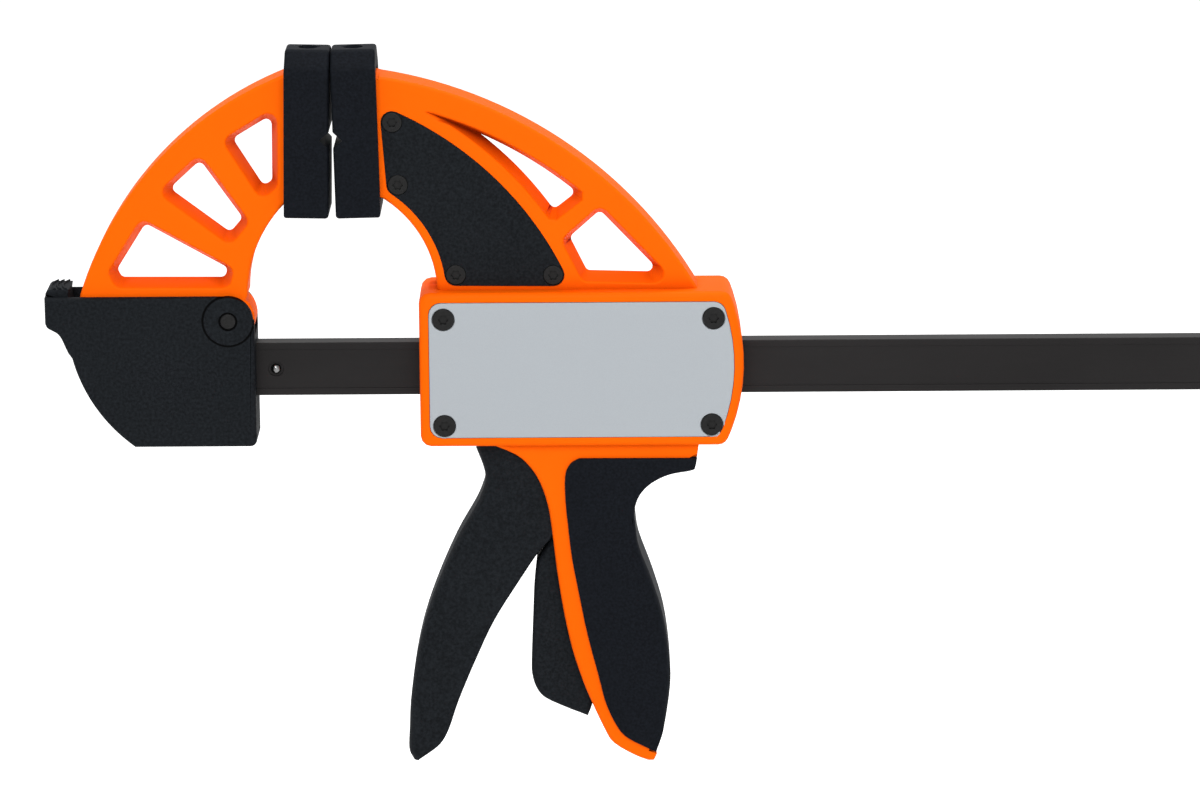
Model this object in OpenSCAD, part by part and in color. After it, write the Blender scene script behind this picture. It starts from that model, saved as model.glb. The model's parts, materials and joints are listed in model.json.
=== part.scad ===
// Quick release bar clamp. X runs along the bar and opens the jaw, Y goes to the rear, Z is up.
// The origin lies where the two pads meet, on the middle plane, at the height of the bar's centre.

/* [Bar] */
// Length of the steel bar
bar_l = 1200; // [1150:10:1500]
// Height of the bar
bar_h = 25; // [23:0.5:26]
// Thickness of the bar
bar_t = 9.5; // [8:0.1:10]
// Height of the raised band along each edge of the bar
bar_band = 3.3; // [2.5:0.1:5]
// Depth of the shallow recess between the bands
bar_recess = 0.4; // [0.2:0.1:0.8]
// Length of bar held inside the fixed bracket
bar_hold = 36; // [30:1:38]
// Diameter of the stop pins
stop_d = 4.9; // [4:0.1:6]
// Height of a stop pin above the bar's face
stop_proud = 0.8; // [0.4:0.1:1.2]
// Diameter of the sink round a stop pin
stop_sink_d = 7; // [6.5:0.1:9]
// Distance of the first stop pin behind the pads' meeting plane
stop_near = 28; // [26:0.5:31]
// Distance of the last stop pin from the free end of the bar
stop_end = 27; // [12:1:30]

/* [Pads] */
// Thickness of a pad along the bar
pad_t = 20.5; // [18:0.5:22]
// Height of a pad
pad_h = 77; // [72:1:84]
// Depth of a pad from front to rear
pad_w = 32; // [28:1:40]
// Height of the pads' lower edge above the bar's centre
pad_low = 73; // [68:1:76]
// Angle by which each pad leans towards the other
pad_toe = 1.15; // [0.6:0.05:1.5]
// Depth of the sloped shoulder at the top of a pad
pad_slope = 8; // [5:0.5:11]
// Drop of that shoulder
pad_drop = 7.5; // [4:0.5:10]
// Height of the groove across the pad's face
groove_h = 8; // [5:0.5:12]
// Depth of the groove
groove_d = 4.4; // [3:0.2:7]
// Diameter of the hole in the top of a pad
pad_hole_d = 8.8; // [6:0.2:10]
// Depth of that hole
pad_hole_deep = 3; // [2:0.5:4]

/* [Fixed head] */
// Thickness of the fixed arm
arm_t = 20; // [18:0.5:22]
// Thickness of each cheek of the bracket
cheek_t = 3; // [2:0.1:5]
// Distance of the arm's pivot behind the origin
pivot_back = 49; // [47:0.5:50]
// Height of the arm's pivot above the bar's centre
pivot_z = 24.8; // [24:0.1:26]
// Diameter of the pivot pin
pivot_d = 7; // [5:0.1:8]
// Diameter of the round boss at the pivot
boss_d = 22.8; // [18:0.2:24]
// Height of the boss above the cheek
boss_proud = 0.8; // [0.4:0.1:2]
// Room between the arm's heel and the bracket's round back
heel_gap = 1.9; // [1.5:0.1:2.5]
// Thickness of the bracket's back and floor
back_wall = 3.5; // [2.5:0.1:3.6]
// Angle about the pivot at which the bracket's round back meets its floor
floor_turn = 53.4; // [52.8:0.1:54]
// Furthest swing of the fixed arm
swing = 25; // [10:1:25]
// Diameter of the latch pin
latch_pin_d = 3; // [2:0.1:3.4]
// Diameter of the pin that locks the bar in the bracket
lock_d = 5; // [4:0.1:7]

/* [Moving head] */
// Room left round the bar springs
spring_room = 0.63; // [0.5:0.01:3]
// Wall thickness of the housing
housing_wall = 3; // [2.4:0.1:3.2]
// Height of the housing above the bar's centre
housing_top = 38.5; // [37.5:0.5:40]
// Depth of the housing below the bar's centre
housing_drop = 34.3; // [33.5:0.1:36]
// Start of the housing along the bar
housing_x = 39; // [38:0.5:40]
// Thickness of the moving arm
slide_arm_t = 21; // [19:0.5:23]
// Thickness of a side plate
plate_t = 1.5; // [1:0.1:2]
// Depth of the seat that takes a side plate
plate_seat = 1.3; // [0.8:0.1:1.5]
// Border of housing left bare round a side plate
plate_border = 4.5; // [3.5:0.1:6]
// Diameter of the side plate screw heads
plate_head_d = 10.2; // [8:0.2:11]
// Diameter of the side plate screws
plate_screw_d = 4; // [3:0.1:5]
// Thickness of a jaw cover
cover_t = 2; // [1.2:0.1:3]
// Depth of the seat that takes a jaw cover
cover_seat = 1.6; // [0.8:0.1:2.4]
// Diameter of the jaw cover screw heads
cover_head_d = 9.3; // [7:0.1:10]
// Diameter of the jaw cover screws
cover_screw_d = 3.6; // [3:0.1:4.5]

/* [Handle and levers] */
// Length of the handle below the housing
handle_l = 154.2; // [150:0.2:160]
// Width of the handle's moulded core
handle_w = 30; // [29:0.5:34]
// Wall of the handle's core
handle_wall = 3; // [2:0.1:3.2]
// Thickness of the soft grip on the handle's sides
grip_side = 1.5; // [1:0.1:3]
// Thickness of the soft grip on the handle's back
grip_back = 3.5; // [2:0.1:5]
// Width of the trigger
trigger_w = 23; // [20:0.5:23.4]
// Wall of the trigger
trigger_wall = 3; // [2:0.1:3]
// Height of the trigger's pivot above the bar's centre
trigger_z = 20; // [18.5:0.5:22]
// Diameter of the trigger's pin
trigger_pin_d = 6; // [4:0.2:7]
// Furthest pull of the trigger
trigger_pull = 16; // [10:1:16]
// Width of the release lever
lever_w = 14; // [10:0.5:15]
// Diameter of the release lever's pin
lever_pin_d = 4; // [3:0.2:5]

/* [Inside the moving head] */
// Number of drive plates
drive_count = 3; // [1:1:4]
// Thickness of one drive plate
drive_t = 2.6; // [2:0.1:3]
// Thickness of the brake plate
brake_t = 4; // [3:0.1:5]
// Height of the drive and brake plates above and below the bar's centre
grab_h = 21; // [19:0.5:22]
// Thickness of the wire of the two bar springs
wire_d = 1.6; // [1:0.1:1.8]
// Length of a bar guide along the bar
guide_l = 8; // [5:0.5:9]
// Thickness of a bar guide round the bar
guide_wall = 4.5; // [3:0.1:5]
// Running gap of the bar in the moving head
slide_gap = 0.15; // [0.1:0.01:0.3]
// Running gap of a pin in a moving piece
pin_gap = 0.05; // [0.02:0.01:0.1]
// Side gap between moving pieces
side_gap = 0.3; // [0.2:0.05:0.5]

/* [Hidden] */
$fn = 48;
over = 1;
touch = 0.01;
across = 60;
away = 300;

// Colours as the object shows them
orange = [0.95, 0.38, 0.05];
black = [0.12, 0.13, 0.14];
steel_dark = [0.2, 0.21, 0.22];
silver = [0.72, 0.73, 0.75];
zinc = [0.6, 0.61, 0.6];

// Places that follow from the sizes
heads_gap = 2;
bracket_x = heads_gap - housing_x;
bar_x = bracket_x - bar_hold;
bar_end = bar_x + bar_l;
pivot = [-pivot_back, pivot_z];
slot_half = arm_t / 2 + side_gap;
bracket_half = slot_half + cheek_t;
block_wall = 4;
block_top = bar_h / 2 + 4.9;
block_x = bar_x - block_wall;
bracket_top = 36;
spring_in = norm([bar_h, bar_t]) / 2 + 0.4;
spring_out = spring_in + wire_d;
cavity_half = spring_out + spring_room;
housing_half = cavity_half + housing_wall;
slide_half = slide_arm_t / 2;
handle_half = handle_w / 2;
handle_in = handle_half - handle_wall;
trigger_half = trigger_w / 2;
trigger_at = [housing_x + 44.5, trigger_z];
lever_at = [housing_x + 84.5, -50];
drive_x = housing_x + 58.5;
drive_gap = 0.3;
drive_end = drive_x + drive_count * drive_t + (drive_count - 1) * drive_gap;
drive_step = 0.35;
drive_travel = drive_step * trigger_pull;
drive_spring_l = 21.5 + drive_travel;
rib_t = 3;
rib_x = drive_end + drive_spring_l;
tilt_room = 3.5;
brake_x = rib_x + rib_t + tilt_room;
brake_spring_l = 20.5;
brake_rib_x = brake_x + brake_t + brake_spring_l;
grab_half = 12;

// Points on a round stretch from angle a0 to a1
function arc(c, r, a0, a1, n = 16) =
    [for (i = [0:n]) let (a = a0 + (a1 - a0) * i / n) [c[0] + r * cos(a), c[1] + r * sin(a)]];
function unit(v) = v / norm(v);
function turn(v, a) = [v[0] * cos(a) - v[1] * sin(a), v[0] * sin(a) + v[1] * cos(a)];
function angle_of(p, c) = atan2(p[1] - c[1], p[0] - c[0]);
function wrap(a) = a > 180 ? a - 360 : a < -180 ? a + 360 : a;

// A corner at q, between its neighbours p and s, rounded by r
function corner(p, q, s, r, n) =
    let (
        u = unit(p - q),
        v = unit(s - q),
        half = acos(u * v) / 2,
        c = q + unit(u + v) * r / sin(half),
        a0 = angle_of(q + u * r / tan(half), c),
        a1 = a0 + wrap(angle_of(q + v * r / tan(half), c) - a0)
    )
    arc(c, r, a0, a1, n);
function at(p, i) = p[(i + len(p)) % len(p)];
function rounded(p, r, n = 6) =
    [for (i = [0:len(p) - 1]) for (q = corner(at(p, i - 1), p[i], at(p, i + 1), r, n)) q];

// An outline drawn in by d, for a shape that bulges everywhere
function inset_at(p, q, s, d) =
    let (u = unit(p - q), v = unit(s - q)) q + unit(u + v) * d / sin(acos(u * v) / 2);
function inset(p, d) = [for (i = [0:len(p) - 1]) inset_at(at(p, i - 1), p[i], at(p, i + 1), d)];

// A smooth curve through a few points
function blend(a, b, c, d, t) =
    0.5 * (2 * b + (c - a) * t + (2 * a - 5 * b + 4 * c - d) * t * t
    + (3 * b - a - 3 * c + d) * t * t * t);
function curve(p, n = 5) =
    let (last = len(p) - 1)
    concat(
        [for (i = [0:last - 1]) for (k = [0:n - 1])
            blend(p[max(i - 1, 0)], p[i], p[i + 1], p[min(i + 2, last)], k / n)],
        [p[last]]
    );
function reversed(p) = [for (i = [len(p) - 1:-1:0]) p[i]];
function moved(p, v) = [for (q = p) q + v];

// Where two circles cross, on the left of the way from a to b
function cross_at(a, ra, b, rb) =
    let (d = norm(b - a), x = (d * d + ra * ra - rb * rb) / (2 * d), h = sqrt(ra * ra - x * x))
    a + unit(b - a) * x + turn(unit(b - a), 90) * h;
// Where a line from p along u leaves a circle
function leave_at(p, u, c, r) =
    let (w = p - c, b = w * u) p + u * (-b + sqrt(b * b - w * w + r * r));
function on(c, r, a) = c + r * [cos(a), sin(a)];
// Where a circle's upper half stands above x, and where its left half stands at height z
function height_on(c, r, x) = c[1] + sqrt(r * r - pow(x - c[0], 2));
function left_on(c, r, z) = c[0] - sqrt(r * r - pow(z - c[1], 2));
// A point of an arm: its angle at the inner edge's centre, and its share of the way to the outer edge
function between(q, c, r, outer_c, outer_r) =
    let (u = [cos(q[0]), sin(q[0])], p = c + r * u) p + (leave_at(p, u, outer_c, outer_r) - p) * q[1];

// A flat outline, given as X and Z, made solid from y0 to y1
module slab(y0, y1)
    translate([0, y1, 0]) rotate([90, 0, 0]) linear_extrude(y1 - y0) children();
// A round bar along Y
module rod(at, d, y0, y1)
    translate([at[0], y0, at[1]]) rotate([-90, 0, 0]) cylinder(d = d, h = y1 - y0);
// A block from corner to corner
module block(a, b)
    translate(a) cube(b - a);
// A solid through a row of outlines, each with its own Y
module drafted(rings) {
    n = len(rings[0][0]);
    last = len(rings) - 1;
    polyhedron(
        points = [for (r = rings) for (q = r[0]) [q[0], r[1], q[1]]],
        faces = concat(
            [[for (i = [n - 1:-1:0]) i]],
            [[for (i = [0:n - 1]) last * n + i]],
            [for (k = [0:last - 1]) for (i = [0:n - 1]) [i, (i + 1) % n, n + (i + 1) % n] + k * [n, n, n]],
            [for (k = [0:last - 1]) for (i = [0:n - 1]) [i, n + (i + 1) % n, n + i] + k * [n, n, n]]
        )
    );
}

// Bar, its stop pins and the pin that holds it in the bracket
stop_sink = 0.8;
stop_x = [-stop_near, bar_end - stop_end];
lock_x = bar_x + bar_hold / 2;
module bar() color(steel_dark) difference() {
    block([bar_x, -bar_t / 2, -bar_h / 2], [bar_end, bar_t / 2, bar_h / 2]);
    for (side = [-1, 1])
        translate([bar_x - over, side * bar_t / 2 - bar_recess, bar_band - bar_h / 2])
            cube([bar_l + 2 * over, 2 * bar_recess, bar_h - 2 * bar_band]);
    for (x = stop_x) {
        rod([x, 0], stop_d, -bar_t, bar_t);
        rod([x, 0], stop_sink_d, -bar_t, -bar_t / 2 + bar_recess + stop_sink);
        rod([x, 0], stop_sink_d, bar_t / 2 - bar_recess - stop_sink, bar_t);
    }
    rod([lock_x, 0], lock_d + pin_gap, -bar_t, bar_t);
}
module stop_pin(x) {
    half = bar_t / 2 + stop_proud;
    dome = stop_d / 8;
    dome_r = (stop_d * stop_d / 4 + dome * dome) / (2 * dome);
    rod([x, 0], stop_d, dome - half, half - dome);
    for (a = [90, -90])
        translate([x, 0, 0]) rotate([a, 0, 0]) rotate_extrude() intersection() {
            translate([0, half - dome_r]) circle(r = dome_r, $fn = 96);
            translate([0, half - dome - touch]) square([stop_d / 2, dome + over]);
        }
}
module bar_stop_pins() color(zinc) for (x = stop_x) stop_pin(x);
module bar_lock_pin() color(zinc)
    rod([lock_x, 0], lock_d, over - bracket_half, bracket_half);

// Fixed bracket: two cheeks, a round back and floor, and a block that grips the bar
fixed_out = [39.1, -13.6];
fixed_out_r = 164.1;
heel = on(fixed_out, fixed_out_r, 162);
heel_r = norm(heel - pivot);
back_in = heel_r + heel_gap;
back_r = back_in + back_wall;
heel_top = [left_on(fixed_out, fixed_out_r, bracket_top), bracket_top];
ear = moved(concat([[-16, 0]], curve([
    [-16, -12], [-15.4, -13.7], [-14.3, -14.7], [-12.6, -15.6], [-10.5, -16.9],
    [-8.9, -19], [-7.5, -22.2], [-5.9, -26]
], 3)), heel_top);
ear_in = ear[0] + [3.1, -12.6];
ear_in_l = pivot[0] - back_in / 2 - ear_in[0];
bracket_drop = back_r * sin(floor_turn) - pivot_z;
bracket_outline = concat(
    corner([bar_x, -bracket_drop], [bracket_x, -bracket_drop], [bracket_x, 0], 3, 5),
    [[bracket_x, pivot_z], [pivot[0], bracket_top]],
    ear,
    arc(pivot, back_r, 193.5, 180 + floor_turn, 18)
);
ring_w = 0.8;
ring_deep = 0.6;
module bracket_slot() {
    intersection() {
        translate(pivot) circle(r = back_in, $fn = 120);
        polygon([
            [-away, back_wall - bracket_drop], [block_x, back_wall - bracket_drop],
            [block_x, block_top], [away, block_top], [away, away], [-away, away]
        ]);
    }
    polygon(moved([
        [0, 0], [2.8, -1], [6, -2.9], [ear_in_l, -2.9], [ear_in_l, across], [0, across]
    ], ear_in));
}
module fixed_bracket() color(black) difference() {
    union() {
        slab(-bracket_half, bracket_half) polygon(bracket_outline);
        rod(pivot, boss_d, -bracket_half - boss_proud, bracket_half + boss_proud);
    }
    slab(-slot_half, slot_half) bracket_slot();
    block([bar_x, -bar_t / 2, -bar_h / 2], [bracket_x + over, bar_t / 2, bar_h / 2]);
    rod(pivot, pivot_d, -across, across);
    for (side = [0, 1]) mirror([0, side, 0])
        rod(pivot, pivot_d + 2 * ring_w, -across, ring_deep - bracket_half - boss_proud);
    rod([lock_x, 0], lock_d, over - bracket_half, bracket_half + over);
    rod(latch_at, latch_pin_d, over - bracket_half, bracket_half + over);
}
module pivot_pin() color(zinc)
    rod(pivot, pivot_d, -bracket_half - boss_proud, bracket_half + boss_proud);

// Pads: soft blocks that slip over the end plates of the arms, mirrored for the moving jaw
pad_top = pad_low + pad_h;
pad_gap = 0.1;
pad_fit = 0.15;
pad_back = pad_t + pad_gap + pad_h * sin(pad_toe) + 1;
end_plate_t = 3;
end_plate_x = 3.5 - pad_t;
end_plate_half = 12;
end_plate_edge = [6, 8];
groove_z = pad_low + 36.5;
module at_pad(side) {
    mirror([side > 0 ? 1 : 0, 0, 0])
        translate([-pad_gap, 0, pad_top]) rotate([0, pad_toe, 0]) translate([0, 0, -pad_top])
            children();
}
module end_plate(grow)
    block(
        [end_plate_x - grow, -end_plate_half - grow, pad_low + end_plate_edge[0] - grow],
        [end_plate_x + end_plate_t + grow, end_plate_half + grow, pad_top - end_plate_edge[1] + grow]
    );
module pad(side, neck_half, neck_low, neck_top) at_pad(side) difference() {
    translate([-pad_t, 0, 0]) rotate([90, 0, 90]) linear_extrude(pad_t) polygon([
        [-pad_w / 2, pad_low], [pad_w / 2, pad_low], [pad_w / 2, pad_top - pad_drop],
        [pad_w / 2 - pad_slope, pad_top], [pad_slope - pad_w / 2, pad_top],
        [-pad_w / 2, pad_top - pad_drop]
    ]);
    slab(-pad_w, pad_w) polygon([
        [pad_gap, groove_z - groove_h / 2], [pad_gap, groove_z + groove_h / 2],
        [-groove_d, groove_z]
    ]);
    translate([-pad_t / 2, 0, pad_top - pad_hole_deep])
        cylinder(d = pad_hole_d, h = pad_hole_deep + over);
    end_plate(pad_fit);
    block([-pad_t - over, -neck_half - pad_fit, neck_low], [end_plate_x, neck_half + pad_fit, neck_top]);
}

// Fixed arm: two round edges, a heel that follows the bracket's back, three windows
fixed_in = [22.3, 35.4];
fixed_in_r = 62.2;
neck_x = 16;
hub_r = pivot_z - block_top - side_gap;
hub_front_r = 12.2;
fixed_neck = [height_on(fixed_in, fixed_in_r, -pad_back), height_on(fixed_out, fixed_out_r, -neck_x)];
// The arm's underside stops level over the bar's block when the arm swings right back
lift = on(pivot, hub_r, 270 - swing);
lift_l = pivot[0] - block_x + over;
fixed_arm_outline = concat(
    arc(fixed_out, fixed_out_r, angle_of([-neck_x, fixed_neck[1]], fixed_out), 162, 30),
    arc(pivot, heel_r, angle_of(heel, pivot) + 1, 192, 8),
    [pivot - [39, 0], lift + lift_l * [-cos(swing), sin(swing)]],
    arc(pivot, hub_r, 270 - swing, 270, 4),
    [pivot + [8, -hub_r]],
    arc(pivot, hub_front_r, -13, 48, 8),
    arc(fixed_in, fixed_in_r, 179, angle_of([-neck_x, fixed_neck[0]], fixed_in), 14)
);
window_draft = 3.4;
window_r = [4.5, 2.5];
module window(w, half)
    let (outer = rounded(w, window_r[0], 4), inner = rounded(inset(w, window_draft), window_r[1], 4))
        drafted([[outer, -half - touch], [inner, 0], [outer, half + touch]]);
// Corners of the windows, as angle and share
fixed_windows = [
    [[134.6, 0.771], [140.6, 0.161], [132.3, 0.143], [117.4, 0.767]],
    [[154.4, 0.843], [160.9, 0.178], [149.6, 0.126], [140.7, 0.802]],
    [[177.9, 0.798], [176.6, 0.112], [168.7, 0.1], [161.2, 0.836], [174.6, 0.882]]
];
module fixed_arm() color(orange) {
    difference() {
        slab(-arm_t / 2, arm_t / 2) polygon(fixed_arm_outline);
        rod(pivot, pivot_d + 2 * pin_gap, -arm_t, arm_t);
        for (w = fixed_windows)
            window([for (q = w) between(q, fixed_in, fixed_in_r, fixed_out, fixed_out_r)], arm_t / 2);
    }
    at_pad(-1) end_plate(0);
}
neck_room = 1.4;
module fixed_pad() color(black)
    pad(-1, arm_t / 2, fixed_neck[0] - over, fixed_neck[1] + neck_room);
module moving_pad() color(black)
    pad(1, slide_half, slide_neck[0] - over, slide_neck[1] + neck_room);

// Latch: a thumb pad on a short rocker, with a small spring behind its tail
latch_half = slot_half - side_gap;
latch_at = heel_top - [9.2, 7];
latch_hub_d = 5.6;
latch_top = 3.5;
latch_round = 2.7;
latch_spring_at = [ear_in[0], bracket_top - 11.2];
latch_spring_d = [1.6, 2.6];
latch_spring_l = 3.5;
module latch() color(black) difference() {
    union() {
        slab(-latch_half, latch_half) polygon(moved(concat(
            [[-11.9, -8], [-9.9, -9.1], [-5.9, -14.5], [-2.1, -14.5], [-1.7, -12], [-4.3, -6],
            [-5.3, side_gap], [-4.8, latch_top]],
            corner([0, latch_top], [-15.8, latch_top], [-15.8, 0], latch_round, 5),
            [[-15.8, side_gap], [-11.9, side_gap]]
        ), heel_top));
        rod(latch_at, latch_hub_d, -latch_half, latch_half);
    }
    rod(latch_at, latch_pin_d + 2 * pin_gap, -latch_half - over, latch_half + over);
}
module latch_pin() color(zinc)
    rod(latch_at, latch_pin_d, over - bracket_half, bracket_half);
module latch_spring() color(zinc)
    translate([latch_spring_at[0], 0, latch_spring_at[1]]) rotate([0, 90, 0]) difference() {
        cylinder(d = latch_spring_d[1], h = latch_spring_l);
        translate([0, 0, -over]) cylinder(d = latch_spring_d[0], h = latch_spring_l + 2 * over);
    }

// Outlines of the moving head
slide_out = [-11, -65.5];
slide_out_r = 206.3;
slide_in = [-5.7, 36.6];
slide_in_r = 53.1;
arm_foot = housing_top - 2.5;
slide_neck = [height_on(slide_in, slide_in_r, pad_back), height_on(slide_out, slide_out_r, neck_x)];
slide_arm_outline = concat(
    [[neck_x, slide_neck[1]]],
    arc(slide_in, slide_in_r, angle_of([neck_x, slide_neck[0]], slide_in),
        asin((arm_foot - slide_in[1]) / slide_in_r), 16),
    arc(slide_out, slide_out_r, asin((arm_foot - slide_out[1]) / slide_out_r),
        angle_of([neck_x, slide_neck[1]], slide_out), 30)
);
cover_out = [-36.5, -21.6];
cover_out_r = 157.8;
cover_border = 4.2;
cover_in_r = slide_in_r + cover_border;
cover_corner = cover_head_d / 2 + 0.45;
// The four screws sit in the cover's corners, two under its outer edge and two over its inner edge
cover_turn = [65.1, 55.1, 8.2, 25.9];
cover_screw_at = [
    on(cover_out, cover_out_r - cover_corner, cover_turn[0]),
    on(slide_in, cover_in_r + cover_corner, cover_turn[1]),
    on(slide_in, cover_in_r + cover_corner, cover_turn[2]),
    on(cover_out, cover_out_r - cover_corner, cover_turn[3])
];
cover_side = angle_of(cover_screw_at[1], cover_screw_at[0]) - 90;
cover_foot = angle_of(cover_screw_at[3], cover_screw_at[2]) - 90;
function cover_round(i, a0, a1) = arc(cover_screw_at[i], cover_corner, a0, a1, 5);
function inner_part(p) = [for (i = [1:len(p) - 2]) p[i]];
cover_outline = concat(
    cover_round(1, cover_side + 360, cover_turn[1] + 180),
    inner_part(arc(slide_in, cover_in_r, cover_turn[1], cover_turn[2], 12)),
    cover_round(2, cover_turn[2] + 180, cover_foot + 360),
    cover_round(3, cover_foot, cover_turn[3]),
    inner_part(arc(cover_out, cover_out_r, cover_turn[3], cover_turn[0], 24)),
    cover_round(0, cover_turn[0], cover_side + 360)
);
// Upper window of the moving arm, between two round edges and a slanted end, drawn in by d
window_end = between([17, 0.616], slide_in, slide_in_r, slide_out, slide_out_r);
window_end_dir = [cos(38), sin(38)];
window_rims = [6.4, 11];
window_end_r = 2.5;
function upper_window(d) =
    let (
        r0 = cover_out_r + window_rims[0] + d,
        r1 = slide_out_r - window_rims[1] - d,
        p = window_end + turn(window_end_dir, 90) * d,
        a = leave_at(p, window_end_dir, cover_out, r0),
        b = leave_at(p, window_end_dir, slide_out, r1),
        tip = cross_at(cover_out, r0, slide_out, r1),
        o = arc(slide_out, r1, angle_of(b, slide_out), angle_of(tip, slide_out), 14),
        i = reversed(arc(cover_out, r0, angle_of(a, cover_out), angle_of(tip, cover_out) - 0.4, 14))
    )
    concat(
        corner(a, b, o[1], window_end_r, 4),
        [for (k = [1:14]) o[k]],
        [for (k = [0:13]) i[k]],
        corner(i[13], a, b, window_end_r, 4)
    );
lower_window = [
    for (q = [[2.5, 0.574], [1.4, 0.936], [17.9, 0.877], [12.9, 0.596]])
        between(q, slide_in, slide_in_r, slide_out, slide_out_r)
];
side_arc = [housing_x + 59.4, 4];
side_arc_r = 90;
housing_raw = concat(
    [[housing_x, -housing_drop]],
    arc(side_arc, side_arc_r, asin((-housing_drop - side_arc[1]) / side_arc_r),
        asin((housing_top - side_arc[1]) / side_arc_r), 10),
    [[housing_x, housing_top]]
);
housing_end = side_arc[0] + side_arc_r;
housing_corner = 5;
cavity = inset(housing_raw, housing_wall);

// Handle and levers, as pairs of the share of the handle's length and the share of the housing's length
function along(s) = housing_x + s * (housing_end - housing_x);
function down(p) = [for (q = p) [along(q[1]), -housing_drop - q[0] * handle_l]];
handle_front = down([
    [0, 0.215], [0.033, 0.2926], [0.07, 0.335], [0.119, 0.3667], [0.189, 0.3907],
    [0.264, 0.4029], [0.394, 0.4179], [0.525, 0.4383], [0.645, 0.4644], [0.744, 0.4961],
    [0.81, 0.5227], [0.9, 0.564], [0.944, 0.5924], [0.983, 0.6573], [1, 0.7007]
]);
handle_back = down([
    [0.043, 0.8551], [0.069, 0.8497], [0.08, 0.8379], [0.093, 0.7683], [0.119, 0.7147],
    [0.157, 0.677], [0.205, 0.6608], [0.248, 0.6638], [0.32, 0.6747], [0.43, 0.7162],
    [0.55, 0.7517], [0.68, 0.7697], [0.77, 0.7697], [0.89, 0.751], [0.967, 0.7256]
]);
grip_front = down([
    [0.042, 0.4903], [0.058, 0.4635], [0.09, 0.4472], [0.154, 0.4455], [0.251, 0.4535],
    [0.359, 0.4666], [0.468, 0.4873], [0.588, 0.5112], [0.719, 0.5449], [0.818, 0.5713],
    [0.901, 0.6142], [0.934, 0.6574]
]);
handle_toe = down([[1, 0.717], [0.976, 0.728]]);
back_line = curve(handle_back, 4);
core_top = over - housing_drop;
handle_core = concat(
    curve(handle_front, 3),
    handle_toe,
    [handle_back[len(handle_back) - 1]],
    reversed(moved(back_line, [-grip_back, 0])),
    [handle_back[0], [handle_back[0][0] + 1, core_top], [handle_front[0][0], core_top]]
);
grip_outline = concat(curve(grip_front, 4), reversed(back_line));
hollow_top = core_top + housing_wall;
handle_hollow = concat(
    [[along(0.127), hollow_top]],
    down([[0.232, 0.127], [0.556, 0.341], [0.932, 0.489]]),
    reversed(moved(
        curve([for (i = [3:len(handle_back) - 2]) handle_back[i]], 4), [-grip_back - handle_wall, 0]
    )),
    [[along(0.776), hollow_top]]
);

// Screw places
plate_rows = [housing_top - 12.3, 10.2 - housing_drop];
plate_screw_at = [
    [housing_x + 11.2, plate_rows[0]], [housing_end - 14, plate_rows[0]],
    [housing_x + 11.2, plate_rows[1]], [housing_end - 14.8, plate_rows[1]]
];
plate_face = housing_half - plate_seat + plate_t;
plate_head_t = 1;
nut_d = plate_screw_d + 2;
nut_wall = 4;
cover_face = slide_half - cover_seat + cover_t;
cover_head_t = 1.2;
screw_seat = 0.15;
screw_tip = 2;
plate_corner = 5.6;
boss_wall = 2.2;

// Moulded shells: the front one is drawn, and the rear one is its mirror image
trigger_pin_end = housing_half - plate_seat - 1.1;
guide_y = bar_t / 2 + slide_gap + guide_wall;
guide_z = bar_h / 2 + slide_gap + guide_wall;
guide_x = [housing_x + housing_wall, housing_end - 8 - guide_l];
guide_rib = [4, 2];
pass_gap = 0.35;
module bar_passage(x0, x1, gap)
    block([x0, -bar_t / 2 - gap, -bar_h / 2 - gap], [x1, bar_t / 2 + gap, bar_h / 2 + gap]);
module shell_cavity() difference() {
    slab(-cavity_half, over) polygon(cavity);
    for (p = plate_screw_at)
        rod(p, nut_d + 2 * boss_wall, -housing_half, 2 * over);
    for (x = guide_x)
        block(
            [x - guide_rib[0], -housing_half, -guide_z - guide_rib[1]],
            [x + guide_l + guide_rib[1], 2 * over, guide_z + guide_rib[1]]
        );
    block([rib_x, -housing_half, -guide_z], [rib_x + rib_t, 2 * over, housing_top]);
    block([brake_rib_x, -housing_half, -housing_drop], [brake_rib_x + rib_t, 2 * over, housing_top]);
    block([brake_x, -housing_half, grab_h + side_gap], [brake_x + brake_t, 2 * over, housing_top]);
}
module jaw_shell(hole_d) {
    difference() {
        union() {
            slab(-slide_half, 0) polygon(slide_arm_outline);
            slab(-housing_half, 0) polygon(rounded(housing_raw, housing_corner, 3));
            slab(-handle_half, 0) polygon(handle_core);
        }
        drafted([[upper_window(0), -slide_half - touch], [upper_window(window_draft), touch]]);
        drafted([
            [rounded(lower_window, window_r[0], 4), -slide_half - touch],
            [rounded(inset(lower_window, window_draft), window_r[1], 4), touch]
        ]);
        shell_cavity();
        slab(-handle_in, over) polygon(handle_hollow);
        bar_passage(housing_x - over, housing_end + over, pass_gap);
        for (x = guide_x)
            block([x, -guide_y, -guide_z], [x + guide_l, guide_y, guide_z]);
        slab(-housing_half - over, plate_seat - housing_half) polygon(plate_outline(screw_seat));
        slab(-slide_half - over, cover_seat - slide_half) polygon(cover_outline);
        for (p = plate_screw_at) rod(p, hole_d, -housing_half - over, over);
        for (p = cover_screw_at) rod(p, cover_screw_d, -slide_half - over, -screw_tip);
        rod(trigger_at, trigger_pin_d, -trigger_pin_end, over);
        rod(lever_at, lever_pin_d, over - handle_half, over);
    }
    intersection() {
        at_pad(1) end_plate(0);
        block([0, -housing_half, 0], [pad_back, 0, pad_top]);
    }
}
module jaw_shell_front() color(orange) jaw_shell(plate_screw_d);
module jaw_shell_rear() color(orange) mirror([0, 1, 0]) jaw_shell(nut_d);

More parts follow.
